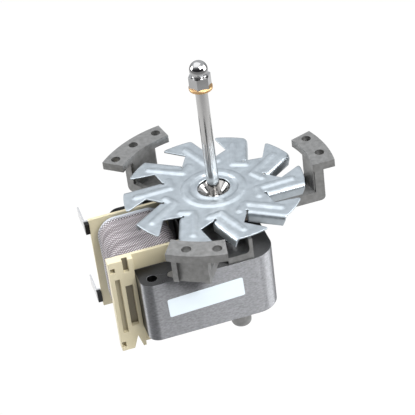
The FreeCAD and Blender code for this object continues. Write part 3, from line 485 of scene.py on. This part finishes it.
def make_stage(floor_height):
    """The floor, the sky and the lamps, shown without a film curve."""
    make_floor(floor_height)
    make_sky()
    make_lamps()
    bpy.context.scene.view_settings.view_transform = "Standard"


def paint(piece, material):
    """Gives a piece one material."""
    piece.data.materials.clear()
    piece.data.materials.append(material)


def dress(piece, node, smooth_angle):
    """Gives a piece its node's finish and body, and hides the node."""
    piece.data.shade_smooth()
    piece.data.set_sharp_from_angle(angle=math.radians(smooth_angle))
    paint(piece, MATERIALS[SLOT_OF[node]])
    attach(piece, BODY_OF[node])
    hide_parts(node)


def new_piece(name, vertices, faces, node, smooth_angle):
    """A mesh piece in the frame that stands for a CAD node and rides on its body."""
    mesh = bpy.data.meshes.new(name)
    mesh.from_pydata([tuple(map(float, v)) for v in vertices], [],
                     [tuple(map(int, f)) for f in faces])
    mesh.update()
    piece = new_object(name, mesh)
    dress(piece, node, smooth_angle)
    return piece


def welded(node):
    """A CAD node's mesh with its split corners joined."""
    mesh = NODES[node].data.copy()
    shape = bmesh.new()
    shape.from_mesh(mesh)
    bmesh.ops.remove_doubles(shape, verts=shape.verts, dist=WELD_GAP)
    shape.to_mesh(mesh)
    shape.free()
    return mesh


def round_edges(piece, name, width, steps, angle):
    """Rounds the edges of a piece that turn by more than an angle in degrees."""
    bevel = piece.modifiers.new(name, "BEVEL")
    bevel.width = width * MM
    bevel.segments = steps
    bevel.limit_method = "ANGLE"
    bevel.angle_limit = math.radians(angle)


def thicken(piece, name, thickness, offset):
    """Gives a sheet its thickness in millimetres, below it (-1) or to both sides (0)."""
    sheet = piece.modifiers.new(name, "SOLIDIFY")
    sheet.thickness = thickness * MM
    sheet.offset = offset


def soften(node, width):
    """A CAD node again, with its sharp edges rounded as a real one's are."""
    piece = new_object(node + "_finished", welded(node))
    dress(piece, node, EDGE_ANGLE)
    round_edges(piece, "soft_edges", width, EDGE_STEPS, EDGE_ANGLE)
    flat = piece.modifiers.new("flat_faces", "WEIGHTED_NORMAL")
    flat.keep_sharp = True


def turned_to(points, angle):
    """Plane points turned about the shaft's axis."""
    points = np.asarray(points, float)
    cos, sin = math.cos(angle), math.sin(angle)
    return np.stack([points[:, 0] * cos - points[:, 1] * sin,
                     points[:, 0] * sin + points[:, 1] * cos], 1)


def spaced(start, end, step):
    """Evenly spaced points from a start up to but not including an end."""
    start, end = np.asarray(start, float), np.asarray(end, float)
    count = max(1, int(round(np.linalg.norm(end - start) / step)))
    return [tuple(start + (end - start) * i / count) for i in range(count)]


def within(points, loop):
    """Which points lie inside a closed loop, by the even and odd rule."""
    loop = np.asarray(loop)
    after = np.roll(loop, -1, axis=0)
    inside = np.zeros(len(points), bool)
    for (x0, y0), (x1, y1) in zip(loop, after):
        if y0 != y1:
            crossed = (points[:, 1] > min(y0, y1)) & (points[:, 1] <= max(y0, y1))
            crossing = x0 + (points[:, 1] - y0) * (x1 - x0) / (y1 - y0)
            inside ^= crossed & (points[:, 0] < crossing)
    return inside


def step_up(value, start, end):
    """Rises smoothly from 0 to 1 between two values."""
    share = np.clip((value - start) / (end - start), 0, 1)
    return share * share * (3 - 2 * share)


def blade_outline():
    """One blade's edge: the rim, the fold line, the slot's relief and end, and the free edge."""
    rim_fold = math.sqrt(FAN_RADIUS ** 2 - FAN_FOLD ** 2)
    corner = np.array(FAN_SLOT_CORNER)
    along = np.array([math.cos(FAN_SLOT_FLARE), -math.sin(FAN_SLOT_FLARE)])
    half = corner @ along
    tip = corner + along * (math.sqrt(half * half - corner @ corner + FAN_RADIUS ** 2) - half)
    round_turn = FAN_TIP_ROUND / FAN_RADIUS
    tip_angle = math.atan2(tip[1], tip[0])
    start = FULL_TURN / FAN_BLADES + tip_angle - round_turn
    end = -math.asin(FAN_FOLD / FAN_RADIUS)
    count = int((start - end) * FAN_RADIUS / FAN_GRID)
    rim = [(FAN_RADIUS * math.cos(start + (end - start) * i / count),
            FAN_RADIUS * math.sin(start + (end - start) * i / count)) for i in range(count)]
    fold = spaced((rim_fold, -FAN_FOLD), FAN_RELIEF[0], FAN_GRID)
    slot_end = (FAN_SLOT_START, -FAN_FOLD - FAN_SLOT_LIP)
    inner = list(FAN_RELIEF) + spaced(slot_end, corner, FAN_GRID)
    near = tip - along * FAN_TIP_ROUND
    far_angle = tip_angle - round_turn
    far = FAN_RADIUS * np.array([math.cos(far_angle), math.sin(far_angle)])
    free = spaced(corner, near, FAN_GRID)
    free += [tuple(near * (1 - t) ** 2 + tip * 2 * t * (1 - t) + far * t * t)
             for t in FAN_TIP_SHARES]
    return rim, fold, inner, free


def pressed_height(points):
    """How far the pressed rings and ribs stand above the sheet."""
    radius = np.hypot(points[:, 0], points[:, 1])
    height = np.zeros(len(points))
    for rise, start, full, fall, end in FAN_RINGS:
        height += rise * step_up(radius, start, full) * (1 - step_up(radius, fall, end))
    collar_fall, collar_end = FAN_HOLE + FAN_COLLAR[0], FAN_HOLE + FAN_COLLAR[1]
    height += FAN_COLLAR_RISE * (1 - step_up(radius, collar_fall, collar_end))
    for index in range(FAN_BLADES):
        local = turned_to(points, -(FAN_TIP_ANGLE + index * FULL_TURN / FAN_BLADES))
        away = np.full(len(points), FAR_AWAY)
        for start, end in zip(FAN_RIB, FAN_RIB[1:]):
            start, end = np.array(start), np.array(end)
            leg = end - start
            share = np.clip(((local - start) @ leg) / (leg @ leg), 0, 1)
            reach = np.linalg.norm(local - start - share[:, None] * leg, axis=1)
            away = np.minimum(away, reach)
        rib = FAN_RIB_RISE * (1 - step_up(away, FAN_RIB_FLAT, FAN_RIB_HALF_WIDTH))
        height = np.maximum(height, rib)
    return height


def fold_down(vertices, line, angle, top):
    """Rows of faces that carry the sheet round its bend and down the blade's flange."""
    base = turned_to([vertices[i][:2] for i in line], -angle)
    near = FAN_RELIEF[0][0]
    outer = base[0][0]
    steps = []
    for i in range(1, FAN_BEND_STEPS + 1):
        turn = QUARTER_TURN * i / FAN_BEND_STEPS
        steps.append((FAN_BEND * math.sin(turn), FAN_BEND * (1 - math.cos(turn))))
    for i in range(1, FAN_FLANGE_STEPS + 1):
        steps.append((FAN_BEND, FAN_BEND + (FAN_DROP - FAN_BEND) * i / FAN_FLANGE_STEPS))
    rows = [line]
    for out, down in steps:
        developed = out if down < FAN_BEND else out + down - FAN_BEND
        reach = math.sqrt(max(0.0, FAN_RADIUS ** 2 - (FAN_FOLD + developed) ** 2))
        row = []
        for x, _ in base:
            share = (x - near) / (outer - near)
            spot = turned_to([(near + share * (reach - near), -FAN_FOLD - out)], angle)[0]
            row.append(len(vertices))
            vertices.append((spot[0], spot[1], top - down))
        rows.append(row)
    faces = []
    for upper, lower in zip(rows, rows[1:]):
        for i in range(len(line) - 1):
            faces.append((upper[i], upper[i + 1], lower[i + 1], lower[i]))
    return faces


def tidy(piece):
    """Drops loose vertices and turns every face the same way, the flat ones up."""
    shape = bmesh.new()
    shape.from_mesh(piece.data)
    loose = [v for v in shape.verts if not v.link_faces]
    bmesh.ops.delete(shape, geom=loose, context="VERTS")
    bmesh.ops.recalc_face_normals(shape, faces=shape.faces)
    flattest = max(shape.faces, key=lambda face: abs(face.normal.z))
    if flattest.normal.z < 0:
        bmesh.ops.reverse_faces(shape, faces=shape.faces)
    shape.to_mesh(piece.data)
    shape.free()


def make_fan():
    """The stamped fan as one pressed sheet: slots, ribs, rings and folded flanges."""
    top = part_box("fan_hub")[1].z / MM + FAN_SHEET
    rim, fold, inner, free = blade_outline()
    border = []
    folds = []
    for index in range(FAN_BLADES):
        angle = FAN_TIP_ANGLE - index * FULL_TURN / FAN_BLADES
        start = len(border) + len(rim)
        border += [tuple(p) for p in turned_to(rim + fold + inner + free, angle)]
        folds.append((angle, list(range(start, start + len(fold) + 1))))
    hole = [(FAN_HOLE * math.cos(FULL_TURN * i / FAN_HOLE_SIDES),
             FAN_HOLE * math.sin(FULL_TURN * i / FAN_HOLE_SIDES)) for i in range(FAN_HOLE_SIDES)]
    count = len(border)
    edges = [(i, (i + 1) % count) for i in range(count)]
    edges += [(count + i, count + (i + 1) % FAN_HOLE_SIDES) for i in range(FAN_HOLE_SIDES)]
    ticks = np.arange(-FAN_RADIUS, FAN_RADIUS, FAN_GRID)
    cells = np.array([(x + (FAN_GRID / 2 if row % 2 else 0), y)
                      for row, y in enumerate(ticks) for x in ticks])
    keep = np.hypot(cells[:, 0], cells[:, 1]) > FAN_HOLE + GRID_FROM_HOLE
    keep &= within(cells, border)
    for x, y in border:
        keep &= np.hypot(cells[:, 0] - x, cells[:, 1] - y) > GRID_FROM_EDGE
    points = [Vector(p) for p in border + hole + [tuple(p) for p in cells[keep]]]
    flat, _, triangles = delaunay_2d_cdt(points, edges, [], 0, MESH_TOLERANCE)[:3]
    flat = np.array([tuple(p) for p in flat])
    centre = np.array([flat[list(t)].mean(0) for t in triangles])
    inside = (np.hypot(centre[:, 0], centre[:, 1]) > FAN_HOLE) & within(centre, border)
    height = top + pressed_height(flat)
    vertices = [(x, y, z) for (x, y), z in zip(flat, height)]
    faces = [t for t, kept in zip(triangles, inside) if kept]
    for angle, line in folds:
        faces += fold_down(vertices, line, angle, top)
    piece = new_piece("cooling_fan_sheet", np.array(vertices) * MM, faces, "cooling_fan",
                      FAN_SMOOTH_ANGLE)
    tidy(piece)
    thicken(piece, "sheet", FAN_SHEET, -1)
    round_edges(piece, "cut_edges", FAN_CUT_EDGE, 1, FAN_CUT_ANGLE)


def rounded_ring(half_x, half_z, corner, step):
    """Points round a rounded rectangle, with outward normals and the length gone at each."""
    points, normals = [], []
    for sign_x, sign_z, start in ((1, 1, 0), (-1, 1, 90), (-1, -1, 180), (1, -1, 270)):
        middle = np.array([sign_x * (half_x - corner), sign_z * (half_z - corner)])
        turns = max(TAPE_CORNER_STEPS, int(corner * QUARTER_TURN / step))
        for i in range(turns + 1):
            angle = math.radians(start + 90 * i / turns)
            normals.append((math.cos(angle), math.sin(angle)))
            points.append(middle + corner * np.array(normals[-1]))
        side = half_z if sign_x * sign_z < 0 else half_x
        run = 2 * (side - corner)
        count = max(2, int(run / step))
        ahead = np.array([-math.sin(angle), math.cos(angle)])
        for _ in range(1, count):
            normals.append(normals[-1])
            points.append(points[-1] + ahead * run / count)
    points.append(points[0])
    normals.append(normals[0])
    points, normals = np.array(points), np.array(normals)
    gaps = np.linalg.norm(np.diff(points, axis=0), axis=1)
    return points, normals, np.concatenate([[0], np.cumsum(gaps)])


def wrap_lift(along, reach, lengths):
    """How far the wrap stands out at one place along the coil: its crown, seams and wrinkles."""
    lift = np.full(len(lengths), TAPE_CROWN * (1 - (along / reach) ** 2))
    for at, slope, rise in TAPE_SEAMS:
        offset = along - at - slope * (lengths - lengths[-1] / 2)
        lift += rise * step_up(offset, *TAPE_LAP_UP) * (1 - step_up(offset, *TAPE_LAP_DOWN))
    wave = sum(np.sin(lengths * round_it + along * along_it + start)
               for round_it, along_it, start in TAPE_WAVES)
    lift += TAPE_WAVE_RISE * wave * (TAPE_WAVE_LEAST + step_up(along, *TAPE_WAVE_GROWTH))
    return lift


def make_tape():
    """The woven wrap round the coil: a crowned ring with lapped seams and a wrinkled far end."""
    low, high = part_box("coil_tape")
    low, high = np.array(low) / MM, np.array(high) / MM
    middle = (low + high) / 2
    reach = (high[1] - low[1]) / 2 - TAPE_END_GAP
    half = (high - low) / 2 - TAPE_CROWN - TAPE_SKIN
    rows = int(2 * reach / TAPE_STEP)
    ring, normals, lengths = rounded_ring(half[0], half[2], TAPE_CORNER, TAPE_STEP)
    count = len(ring)
    vertices, faces, places = [], [], []
    for row in range(rows + 1):
        along = -reach + 2 * reach * row / rows
        spots = ring + normals * wrap_lift(along, reach, lengths)[:, None]
        for (x, z), length in zip(spots, lengths):
            vertices.append((middle[0] + x, middle[1] + along, middle[2] + z))
            places.append((length / MM_PER_CM, along / MM_PER_CM))
    for row in range(rows):
        for index in range(count - 1):
            first = row * count + index
            faces.append((first, first + 1, first + count + 1, first + count))
    piece = new_piece("coil_wrap", np.array(vertices) * MM, faces, "coil_tape",
                      TAPE_SMOOTH_ANGLE)
    layer = piece.data.uv_layers.new(name="wrap")
    for loop in piece.data.loops:
        layer.data[loop.index].uv = places[loop.vertex_index]
    thicken(piece, "thickness", TAPE_THICK, 0)


make_camera()
MATERIALS = make_materials()
for node_name, node_object in NODES.items():
    paint(node_object, MATERIALS[SLOT_OF[node_name]])
make_fan()
make_tape()
for node_name, edge_width in EDGE_WIDTHS:
    soften(node_name, edge_width)
make_stage(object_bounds()[0][2])
